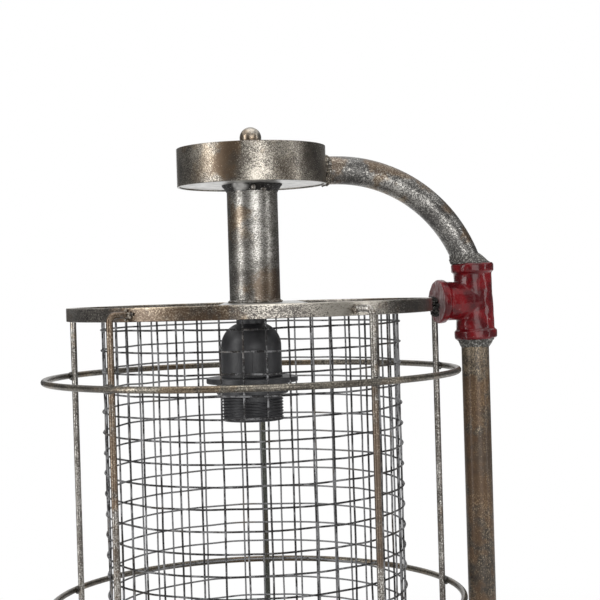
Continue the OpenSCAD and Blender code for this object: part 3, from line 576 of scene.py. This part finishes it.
class Builder:
    """Collects rings of points into one mesh."""

    def __init__(self):
        self.verts = []
        self.faces = []

    def grid(self, rows, wrap_rows=False, wrap_cols=True):
        """Joins rows of points, each row the same length, into a skin. Returns its first point's number."""
        start = len(self.verts)
        count = len(rows[0])
        for row in rows:
            self.verts.extend(tuple(p) for p in row)
        for i in range(len(rows) if wrap_rows else len(rows) - 1):
            below, above = start + i * count, start + (i + 1) % len(rows) * count
            for j in range(count if wrap_cols else count - 1):
                k = (j + 1) % count
                self.faces.append((below + j, below + k, above + k, above + j))
        return start

    def cap(self, row_start, count, flip=False):
        loop = list(range(row_start, row_start + count))
        self.faces.append(tuple(reversed(loop)) if flip else tuple(loop))

    def tube(self, path, radius, sides, closed=False):
        """A round bar along a path of points."""
        rows = []
        count = len(path)
        side = None
        for i, point in enumerate(path):
            after = path[(i + 1) % count] if closed or i + 1 < count else point
            before = path[i - 1] if closed or i else point
            ahead = (after - before).normalized()
            if side is None:
                side = ahead.orthogonal().normalized()
            side = (side - ahead * side.dot(ahead)).normalized()
            up = ahead.cross(side)
            rows.append([point + (side * math.cos(a) + up * math.sin(a)) * radius
                         for a in (2 * math.pi * k / sides for k in range(sides))])
        start = self.grid(rows, wrap_rows=closed)
        if not closed:
            self.cap(start, sides, flip=True)
            self.cap(start + (count - 1) * sides, sides)

    def lump(self, centre, radii, seed, rough=0.25, level=3):
        """A rough-skinned blob."""
        ball = bmesh.new()
        bmesh.ops.create_icosphere(ball, subdivisions=level, radius=1.0)
        base = len(self.verts)
        offset = Vector([seed * step for step in SEED_STEP])
        for v in ball.verts:
            coarse = noise.noise(v.co * 1.6 + offset)
            fine = noise.noise(v.co * 4.1 + offset)
            swell = 1 + rough * coarse + 0.4 * rough * fine
            p = Vector((v.co.x * radii[0], v.co.y * radii[1], v.co.z * radii[2])) * swell
            self.verts.append(tuple(centre + p))
        self.faces.extend(tuple(base + v.index for v in f.verts) for f in ball.faces)
        ball.free()

    def mesh(self, name):
        data = bpy.data.meshes.new(name)
        data.from_pydata(self.verts, [], self.faces)
        data.validate()
        fixer = bmesh.new()
        fixer.from_mesh(data)
        bmesh.ops.recalc_face_normals(fixer, faces=fixer.faces)
        fixer.to_mesh(data)
        fixer.free()
        return data


def round_axis(origin, axis):
    """The turn that takes +Z to an axis, and the place of its origin."""
    turn = Vector((0, 0, 1)).rotation_difference(Vector(axis))
    return Matrix.Translation(origin) @ turn.to_matrix().to_4x4()


def weld_bead(name, node, origin, axis, pipe_r, foot, height,
              look="weld_rubbed", seed=1, ripple=0.16, lean=0.0):
    """A weld fillet round a pipe, rippled and lumpy as by hand.

    foot is its width on the surface that it stands on, and lean is how far the pipe goes to +X as it rises.
    """
    sides = 144
    rows = 14
    sunk = 0.15 * MM
    sunk_edge = 0.2 * MM
    belly = 0.6 * MM
    bore_r = 0.96 * pipe_r
    ripples_round = 2.4
    ripples_up = 1.6
    lean_over = Matrix(((math.sqrt(1 + lean * lean), 0, lean, 0), (0, 1, 0, 0), (0, 0, 1, 0), (0, 0, 0, 1)))
    place = round_axis(origin, axis) @ lean_over
    rings = []
    for i in range(rows + 1):
        t = i / rows
        swell = foot * (1 - t) ** 1.4 + belly * math.sin(math.pi * t) ** 0.5
        ring = []
        for j in range(sides):
            a = 2 * math.pi * j / sides
            probe = Vector((math.cos(a) * ripples_round, math.sin(a) * ripples_round, t * ripples_up))
            probe += Vector((seed, seed * 2, 0))
            wave = layered(probe, (1.0, 1.0), (0.6, 2.7), (0.35, 6.1))
            edge_probe = Vector((probe.x * 1.3 + 9, probe.y * 1.3 + 4, 2))
            tall = height * (1 + 0.22 * noise.noise(edge_probe))
            r = pipe_r - sunk + swell * (1 + ripple * 2.4 * wave)
            if i == rows:
                r = pipe_r - sunk_edge
            ring.append(place @ Vector((r * math.cos(a), r * math.sin(a), t * tall)))
        rings.append(ring)
    for rise in (height, 0):
        rings.append([place @ p for p in circle(bore_r, rise, sides)])
    build = Builder()
    build.grid(rings, wrap_rows=True)
    add_piece(name, build.mesh(name), look, stands_for=(node,), smooth_deg=60)


def add_pipe_welds():
    up, down, right = (0, 0, 1), (0, 0, -1), (1, 0, 0)
    weld_bead("pipe_foot_bead", "pipe_foot_weld", Vector((PIPE_X, 0, BASE_TOP)), up, PIPE_R,
              foot=3.0 * MM, height=4.4 * MM, seed=3)
    weld_bead("tee_lower_bead", "tee_lower_weld", Vector((PIPE_X, 0, TEE_FOOT + 0.3 * MM)), down, PIPE_R,
              foot=3.0 * MM, height=5.6 * MM, seed=7, ripple=0.22)
    weld_bead("tee_upper_bead", "tee_upper_weld", Vector((ARM_END_X + 2.0 * MM, 0, TEE_TOP - 0.6 * MM)), up,
              PIPE_R - 0.1 * MM, foot=2.4 * MM, height=6.8 * MM, seed=12, ripple=0.18, lean=-0.56)
    weld_bead("arm_bead", "arm_weld", Vector((DRUM_SIDE - 0.6 * MM, 0, ARM_Z)), right, PIPE_R,
              foot=1.2 * MM, height=4.2 * MM, look="arm_weld", seed=16, ripple=0.30)
    weld_bead("stem_collar_bead", "stem_collar", STEM_AXIS + Vector((0, 0, DRUM_FLOOR)), down, STEM_R,
              foot=3.0 * MM, height=4.6 * MM, look="collar", seed=21, ripple=0.12)
    weld_bead("stem_foot_bead", "stem_foot_weld", STEM_AXIS + Vector((0, 0, BAND_TOP)), up, STEM_R,
              foot=1.1 * MM, height=2.2 * MM, look="stem", seed=25, ripple=0.30)


def add_weld_drips():
    """The drips that stand out on the stem's and the arm's welds, and near-black lumps that paint the dark
    of their pits as painted shade.
    """
    drips = Builder()
    collar_up = DRUM_FLOOR - 2.6 * MM - BAND_TOP
    long_drip = at_view(0.0042, -0.0176, collar_up)
    drips.lump(long_drip, (1.5 * MM, 1.4 * MM, 2.0 * MM), 301, rough=0.2)
    flat_drip = at_view(0.0105, -0.0168, collar_up - 1.2 * MM)
    drips.lump(flat_drip, (1.9 * MM, 1.0 * MM, 0.9 * MM), 302, rough=0.4)
    arm_r = PIPE_R + 0.3 * MM
    for k in range(5):
        a = math.radians(52 + 16 * k)
        out = (1.0 + 1.2 * (k % 2)) * MM
        spot = Vector((DRUM_SIDE + out, -arm_r * math.sin(a), ARM_Z + arm_r * math.cos(a)))
        drips.lump(spot, (1.3 * MM, 1.0 * MM, 1.2 * MM), 310 + k, rough=0.5, level=2)
    add_piece("weld_drips", drips.mesh("weld_drips"), "rod", smooth_deg=80)
    # Near-black lumps where the welds show pits: painted shade for the holes
    pits = Builder()
    stem_pit_shade = at_view(0.0120, -0.0105, 1.9 * MM)
    pits.lump(stem_pit_shade, (0.9 * MM, 0.7 * MM, 1.3 * MM), 320, rough=0.3, level=2)
    arm_pit_shade = Vector((DRUM_SIDE + 1.0 * MM, -PIPE_R * 0.97, ARM_Z + 1.8 * MM))
    pits.lump(arm_pit_shade, (1.0 * MM, 0.6 * MM, 2.6 * MM), 321, rough=0.4, level=2)
    add_piece("weld_pit_shade", pits.mesh("weld_pit_shade"), "weld", smooth_deg=80)


def add_branch_weld():
    """The burnt knot between the branch of the tee, the band and the end of the rod, with a pale crust."""
    weld_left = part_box("branch_weld")[0].x
    rng = random.Random(41)
    across = Vector((-BRANCH_WAY.y, BRANCH_WAY.x, 0))
    knot = Builder()
    lumps = 24
    for k in range(lumps):
        t = k / (lumps - 1)
        along = rng.uniform(0.2, 3.2) * MM * (1 - 0.4 * t)
        side = rng.uniform(-4.0, 4.5) * MM * (1 - 0.35 * t)
        up = (2.4 - 11.0 * t) * MM
        spot = BRANCH_FACE + BRANCH_WAY * along + across * side + Vector((0, 0, up))
        size = rng.uniform(0.9, 2.2) * MM
        knot.lump(spot, (size, 1.2 * size, 0.8 * size), 50 + k, rough=0.7, level=2)
    reach = BRANCH_FACE + BRANCH_WAY * (BRANCH_FACE.x - weld_left) * 0.5
    knot.lump(reach, (6.0 * MM, 2.4 * MM, 2.4 * MM), 99, rough=0.3)
    add_piece("branch_bead", knot.mesh("branch_bead"), "weld", stands_for=("branch_weld",),
              smooth_deg=80)
    crust = Builder()
    for k in range(7):
        spot = BRANCH_FACE + BRANCH_WAY * rng.uniform(1.8, 3.4) * MM + across * rng.uniform(-5.0, 3.0) * MM
        size = rng.uniform(0.5, 1.0) * MM
        spot += Vector((0, 0, rng.uniform(-3.5, 1.5) * MM))
        crust.lump(spot, (size, 1.5 * size, size), 120 + k, rough=0.6, level=2)
    add_piece("branch_crust", crust.mesh("branch_crust"), "weld_rubbed", smooth_deg=80)


def turned(build, place, profile, sides=96):
    """A closed solid turned from pairs of radius and height."""
    start = build.grid([[place @ p for p in circle(radius, height, sides)] for radius, height in profile])
    build.cap(start, sides, flip=True)
    build.cap(start + (len(profile) - 1) * sides, sides)


def cast_skin(blank):
    """A mesh whose parts run into one another, with softened edges and the uneven skin of a casting."""
    rough_shape = bpy.data.objects.new("tee_blank", blank)
    bpy.context.scene.collection.objects.link(rough_shape)
    joined = rough_shape.modifiers.new("joined", "REMESH")
    joined.mode = "VOXEL"
    joined.voxel_size = 0.42 * MM
    soften = rough_shape.modifiers.new("soften", "SMOOTH")
    soften.factor = 0.5
    soften.iterations = 9
    graph = bpy.context.evaluated_depsgraph_get()
    cast = bpy.data.meshes.new_from_object(rough_shape.evaluated_get(graph))
    bpy.data.objects.remove(rough_shape)
    shifts = []
    for vertex in cast.vertices:
        swell = layered(vertex.co, (0.36, 130), (0.16, 300), (0.04, 800))
        shifts.append(vertex.co + vertex.normal * swell * MM)
    for vertex, place in zip(cast.vertices, shifts):
        vertex.co = place
    return cast


def add_cast_tee():
    """The pipe tee as a casting: a run with a bead at each end, and the branch that comes out of it."""
    bead_r = 13.9 * MM
    bead_h = 5.4 * MM
    edge = 0.9 * MM
    body_r = 12.4 * MM
    slope = 1.2 * MM
    tilt = math.radians(-1.6)
    half = (TEE_TOP - TEE_FOOT) / 2
    middle = Vector((PIPE_X, 0, (TEE_TOP + TEE_FOOT) / 2))
    end = [(bead_r - edge, half), (bead_r, half - edge),
           (bead_r, half - bead_h), (body_r, half - bead_h - slope)]
    run = [(r, -z) for r, z in end] + [(r, z) for r, z in reversed(end)]
    build = Builder()
    turned(build, Matrix.Translation(middle) @ Matrix.Rotation(tilt, 4, "Y"), run)
    branch_r = 14.2 * MM
    neck_r = 12.5 * MM
    ease = 1.0 * MM
    branch = [(neck_r, 0), (neck_r, BRANCH_L - bead_h - ease), (branch_r, BRANCH_L - bead_h + ease),
              (branch_r, BRANCH_L - edge), (branch_r - edge, BRANCH_L)]
    turned(build, round_axis(BRANCH_FACE - BRANCH_WAY * BRANCH_L, BRANCH_WAY), branch)
    cast = cast_skin(build.mesh("tee_blank"))
    add_piece("cast_tee", cast, "red", stands_for=("tee", "branch_plug"), smooth_deg=75)


def rod_ways(angle):
    """The outward and the sideways direction at an angle round the cage."""
    out = Vector((math.cos(angle), math.sin(angle), 0))
    return out, Vector((-out.y, out.x, 0))


def add_rod_welds():
    """Weld lumps where the rods end on the bands: a rubbed crust with burnt flecks."""
    low_z = middle_z("bottom_band")
    high_z = middle_z("top_band")
    lumps = 18
    crust = Builder()
    burnt = Builder()
    rng = random.Random(5)
    for n, (node, angle) in enumerate(ROD_ANGLES.items()):
        out, side = rod_ways(angle)
        lean = math.radians(ROD_LEAN.get(node, 0))
        for z in (low_z, high_z):
            # The rod at the pipe ends under the tee's branch, not on the upper band
            if node == "cage_rod_1" and z == high_z:
                continue
            foot = AXIS + out * (BAND_R + ROD_OUT * (1 - math.cos(lean)) + 0.5 * MM) + Vector((0, 0, z))
            foot -= side * ROD_OUT * math.sin(lean)
            for k in range(lumps):
                a = 2 * math.pi * k / lumps + rng.random()
                r = rng.uniform(0.8, 3.8) * MM
                spot = foot + side * (1.3 * r * math.cos(a)) + Vector((0, 0, 0.7 * r * math.sin(a)))
                size = rng.uniform(0.5, 1.2) * MM
                spot += out * rng.uniform(-0.4, 0.2) * MM
                build = burnt if k % 4 == 1 else crust
                build.lump(spot, (size, size, size), 200 + 20 * n + k, rough=0.6, level=2)
    add_piece("rod_end_beads", crust.mesh("rod_end_beads"), "rod_crust",
              stands_for=("rod_end_welds",), smooth_deg=80)
    add_piece("rod_end_burns", burnt.mesh("rod_end_burns"), "rod_burn", smooth_deg=80)


def add_ring_welds():
    """Small weld lumps where the rods cross the guard rings."""
    corners = ((1.5, 1.5), (-1.5, 1.4), (1.4, -1.5), (-1.6, -1.4))
    size = (1.3 * MM, 1.3 * MM, 1.2 * MM)
    build = Builder()
    for n, angle in enumerate(ROD_ANGLES.values()):
        out, side = rod_ways(angle)
        for m, ring in enumerate(("upper_guard_ring", "lower_guard_ring")):
            ring_r = half_width(ring) - ROD_R
            touch = AXIS + out * (ring_r - ROD_R) + Vector((0, 0, middle_z(ring)))
            for k, (along, up) in enumerate(corners):
                spot = touch + side * along * MM + Vector((0, 0, up * MM))
                build.lump(spot, size, 400 + 10 * n + 5 * m + k, rough=0.5, level=2)
    add_piece("guard_ring_beads", build.mesh("guard_ring_beads"), "weld_rubbed", smooth_deg=80)


def add_wire_mesh():
    """The cylinder of welded wire: upright wires inside, hoops outside, sunk together where they cross."""
    wires_lo, wires_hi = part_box("mesh_wires")
    hoops_lo, hoops_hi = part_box("mesh_hoops")
    wire_r = 0.6 * MM
    wire_sides = 7
    mesh_r = half_width("mesh_wires") - wire_r
    columns = 44
    rows = 17
    phase = math.radians(1.5)
    pitch = (hoops_hi.z - hoops_lo.z - 2 * wire_r) / (rows - 1)
    build = Builder()
    points = 58
    for i in range(columns):
        turn = phase + 2 * math.pi * i / columns
        path = []
        for k in range(points):
            z = wires_lo.z + (wires_hi.z - wires_lo.z) * k / (points - 1)
            probe = Vector((i * 3.7, z * 28, 0.3))
            a = turn + 0.0045 * noise.noise(probe)
            r = mesh_r + 0.35 * MM * noise.noise(probe * 1.7 + Vector((0, 0, 5)))
            path.append(AXIS + Vector((r * math.cos(a), r * math.sin(a), z)))
        build.tube(path, wire_r, wire_sides)
    points = columns * 4
    for j in range(rows):
        path = []
        for k in range(points):
            a = phase + 2 * math.pi * k / points
            probe = Vector((math.cos(a) * 2.5, math.sin(a) * 2.5, j * 5.1))
            r = mesh_r + wire_r * 1.6 + 0.30 * MM * noise.noise(probe)
            z = hoops_lo.z + wire_r + j * pitch + 0.55 * MM * noise.noise(probe * 1.6)
            path.append(AXIS + Vector((r * math.cos(a), r * math.sin(a), z)))
        build.tube(path, wire_r, wire_sides, closed=True)
    add_piece("wire_mesh", build.mesh("wire_mesh"), "wire",
              stands_for=("mesh_wires", "mesh_hoops"))


def add_skirt():
    """The lampholder's skirt with its coarse thread and the smooth pads that break it."""
    foot_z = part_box("holder_skirt")[0].z
    cap_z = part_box("holder_cap")[0].z
    outer_r = half_width("holder_skirt")
    bore_r = 15.0 * MM
    pitch = 1.9 * MM
    depth = 0.75 * MM
    sharpness = 1.9
    run_out = 1.2 * MM
    seam = 0.05 * MM
    top = cap_z - 1.0 * MM
    sides = 144
    rows = 170

    # The middle and half the width of each pad round the skirt, and the heights of its ends
    pads = ((math.radians(-91), 0.36, top - 7 * MM, top - 15.5 * MM),
            (math.radians(-128), 0.10, top - 8 * MM, top - 13 * MM),
            (math.radians(89), 0.36, top - 7 * MM, top - 15.5 * MM))
    rings = []
    for i in range(rows + 1):
        z = foot_z + (top - foot_z) * i / rows
        fade = min(1.0, (z - foot_z) / run_out) * min(1.0, (top - z) / run_out)
        ring = []
        for j in range(sides):
            a = 2 * math.pi * j / sides
            wave = math.cos(2 * math.pi * (z / pitch - a / (2 * math.pi)))
            crest = max(-1.0, min(1.0, sharpness * wave))
            r = outer_r - depth * 0.5 * (1 - crest) * fade
            for centre, half, pad_top, pad_low in pads:
                off = abs((a - centre + math.pi) % (2 * math.pi) - math.pi)
                if off < half and pad_low < z < pad_top:
                    r = outer_r - seam
            if i == 0:
                r = outer_r - 0.7 * MM
            ring.append(AXIS + Vector((r * math.cos(a), r * math.sin(a), z)))
        rings.append(ring)
    collar_r = outer_r - 0.3 * MM
    for r, z in ((collar_r, top + 0.3 * MM), (collar_r, cap_z - seam), (bore_r, cap_z - seam),
                 (bore_r, foot_z + 0.6 * MM), (bore_r + 0.5 * MM, foot_z)):
        rings.append([AXIS + p for p in circle(r, z, sides)])
    build = Builder()
    build.grid(rings, wrap_rows=True)
    add_piece("skirt_thread", build.mesh("skirt_thread"), "black",
              stands_for=("holder_skirt",), smooth_deg=50)


def add_shell():
    """The brass screw shell, rolled into the round thread that takes the bulb."""
    lo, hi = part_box("screw_shell")
    thread_r = 13.35 * MM
    depth = 0.75 * MM
    pitch = 3.6 * MM
    skin = 0.4 * MM
    run_out = 2.0 * MM
    sides = 96
    rows = 120
    inner, outer = [], []
    for i in range(rows + 1):
        z = lo.z + (hi.z - lo.z) * i / rows
        fade = min(1.0, (z - lo.z) / run_out) * min(1.0, (hi.z - z) / run_out)
        flare = 0.5 * MM if i == 0 else 0.0
        ring_in, ring_out = [], []
        for j in range(sides):
            a = 2 * math.pi * j / sides
            wave = 0.5 + 0.5 * math.cos(2 * math.pi * (z / pitch - a / (2 * math.pi)))
            r = thread_r - depth * wave * fade + flare
            ring_in.append(AXIS + Vector((r * math.cos(a), r * math.sin(a), z)))
            ring_out.append(AXIS + Vector(((r + skin) * math.cos(a), (r + skin) * math.sin(a), z)))
        inner.append(ring_in)
        outer.append(ring_out)
    build = Builder()
    build.grid(inner + list(reversed(outer)), wrap_rows=True)
    add_piece("rolled_shell", build.mesh("rolled_shell"), "brass", stands_for=("screw_shell",),
              smooth_deg=60)


def add_cap_details():
    """Fine ribs on the lampholder's cap: a panel's seams on two sides, and a milled edge at its foot."""
    foot_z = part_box("holder_cap")[0].z
    cap_r = half_width("holder_cap")
    shoulder = foot_z + 17.5 * MM
    margin = 1.5 * MM
    seam_l = shoulder - foot_z - 2 * margin
    seam_r = 0.22 * MM
    seam_sunk = 0.08 * MM
    rib_r = 0.28 * MM
    rib_sunk = 0.1 * MM
    rib_l = 1.5 * MM
    ribs = 60
    front = math.radians(-102)
    panel_from = 0.02
    panel_w = 0.34

    def on_side(angle, z, sunk):
        r = cap_r - sunk
        return AXIS + Vector((r * math.cos(angle), r * math.sin(angle), z))

    build = Builder()
    for side in (front, front + math.pi):
        for turn in (panel_from, panel_from + panel_w):
            path = [on_side(side + turn, foot_z + margin + seam_l * k / 12, seam_sunk) for k in range(13)]
            build.tube(path, seam_r, 8)
        path = [on_side(side + panel_from + panel_w * k / 8, shoulder - margin, seam_sunk) for k in range(9)]
        build.tube(path, seam_r, 8)
    for k in range(ribs):
        angle = 2 * math.pi * k / ribs
        path = [on_side(angle, foot_z + 0.4 * MM + rib_l * i / 3, rib_sunk) for i in range(4)]
        build.tube(path, rib_r, 6)
    add_piece("cap_ribs", build.mesh("cap_ribs"), "black")


def add_floor():
    """A plain pale floor that keeps the lamp's shadow and fades to white further out."""
    span = 12.0
    build = Builder()
    build.verts = [(-span, -span, 0), (span, -span, 0), (span, span, 0), (-span, span, 0)]
    build.faces = [(0, 1, 2, 3)]
    mesh = build.mesh("floor")
    s = Shader("floor", Metallic=0.0, Roughness=0.9)
    s.colour(s.mix(s.grain(3, 2), rgb(0.80, 0.80, 0.80), rgb(0.83, 0.83, 0.83)))
    path = s.put("ShaderNodeLightPath")
    seen = s.math("MAXIMUM", path.outputs["Is Camera Ray"], path.outputs["Is Glossy Ray"])
    seen = s.math("MAXIMUM", seen, path.outputs["Is Transmission Ray"])
    glow = s.put("ShaderNodeEmission", {"Color": rgb(1, 1, 1), "Strength": 1.0})
    share = s.math("MULTIPLY", seen, s.step(s.length(s.place), 0.15, 1.1, 0.45, 1.0))
    blend = s.put("ShaderNodeMixShader", {0: share, 1: s.surface.outputs[0], 2: glow.outputs[0]})
    s.feed(s.tree.nodes["Material Output"].inputs["Surface"], blend.outputs[0])
    mesh.materials.append(s.material)
    floor = bpy.data.objects.new("floor", mesh)
    bpy.context.scene.collection.objects.link(floor)


def add_world():
    """White all round for the eye and for reflections, softer as a light."""
    world = bpy.data.worlds.new("studio")
    bpy.context.scene.world = world
    world.use_nodes = True
    tree = world.node_tree
    tree.nodes.clear()

    def backdrop(strength):
        node = tree.nodes.new("ShaderNodeBackground")
        node.inputs["Color"].default_value = rgb(1, 1, 1)
        node.inputs["Strength"].default_value = strength
        return node.outputs[0]

    def larger(a, b):
        node = tree.nodes.new("ShaderNodeMath")
        node.operation = "MAXIMUM"
        tree.links.new(a, node.inputs[0])
        tree.links.new(b, node.inputs[1])
        return node.outputs[0]

    path = tree.nodes.new("ShaderNodeLightPath")
    seen = larger(larger(path.outputs["Is Camera Ray"], path.outputs["Is Glossy Ray"]),
                  path.outputs["Is Transmission Ray"])
    pick = tree.nodes.new("ShaderNodeMixShader")
    out = tree.nodes.new("ShaderNodeOutputWorld")
    tree.links.new(seen, pick.inputs[0])
    tree.links.new(backdrop(0.50), pick.inputs[1])
    tree.links.new(backdrop(1.0), pick.inputs[2])
    tree.links.new(pick.outputs[0], out.inputs[0])


def view_dir(turn_deg):
    """A level direction, counted from the camera's side of the lamp to the right."""
    turn = math.radians(turn_deg)
    return at_view(math.sin(turn), -math.cos(turn), 0) - at_view(0, 0, 0)


def add_lamps():
    """A tall soft box on the left, a broad one in front, a narrow one on the right and a wide one above."""
    aim = AXIS + Vector((0.03, 0, 0.36))

    # Name, way from the lamp, height over the upper band, size, power in watts
    lamps = (("left_box", view_dir(-63) * 1.3, 0.15, (0.36, 1.3), 9.0),
             ("front_box", view_dir(14) * 1.7, 0.10, (0.85, 1.3), 9.5),
             ("right_box", view_dir(72) * 1.2, 0.10, (0.18, 1.2), 2.8),
             ("top_box", view_dir(0) * 0.1, 1.3, (1.2, 1.2), 8.0))
    for name, away, up, size, power in lamps:
        place = at_view(0, 0, up) + away
        turn = (aim - place).to_track_quat("-Z", "Y")
        data = bpy.data.lights.new(name, "AREA")
        data.shape = "RECTANGLE"
        data.size, data.size_y = size
        data.energy = power
        lamp = bpy.data.objects.new(name, data)
        lamp.matrix_world = Matrix.Translation(place) @ turn.to_matrix().to_4x4()
        bpy.context.scene.collection.objects.link(lamp)


def add_flags():
    """Dark screens at the sides, which only reflections show: they give the round metal its dark edges."""
    distance = 2.2
    foot_z, head_z = 0.02, 1.7
    bends = 12

    # Name, the angles of its two ends, grey tone
    flags = (("flag_right", 38, 162, 0.18),
             ("flag_front", -50, -12, 0.05),
             ("flag_left", -162, -74, 0.18))
    for name, start, end, tone in flags:
        rows = []
        for k in range(bends + 1):
            foot = at_view(0, 0, 0) + view_dir(start + (end - start) * k / bends) * distance
            rows.append([Vector((foot.x, foot.y, z)) for z in (foot_z, head_z)])
        build = Builder()
        build.grid(rows, wrap_cols=False)
        mesh = build.mesh(name)
        s = Shader(name + "_cloth", Metallic=0.0, Roughness=0.9)
        s.colour(s.mix(s.grain(40, 3), rgb(tone, tone, tone), rgb(1.2 * tone, 1.2 * tone, 1.2 * tone)))
        mesh.materials.append(s.material)
        flag = bpy.data.objects.new(name, mesh)
        flag.visible_camera = False
        flag.visible_diffuse = False
        flag.visible_shadow = False
        bpy.context.scene.collection.objects.link(flag)


add_pipe_welds()
add_weld_drips()
add_branch_weld()
add_cast_tee()
add_rod_welds()
add_ring_welds()
add_wire_mesh()
add_skirt()
add_shell()
add_cap_details()
add_floor()
add_world()
add_lamps()
add_flags()
bpy.context.scene.view_settings.view_transform = "Standard"
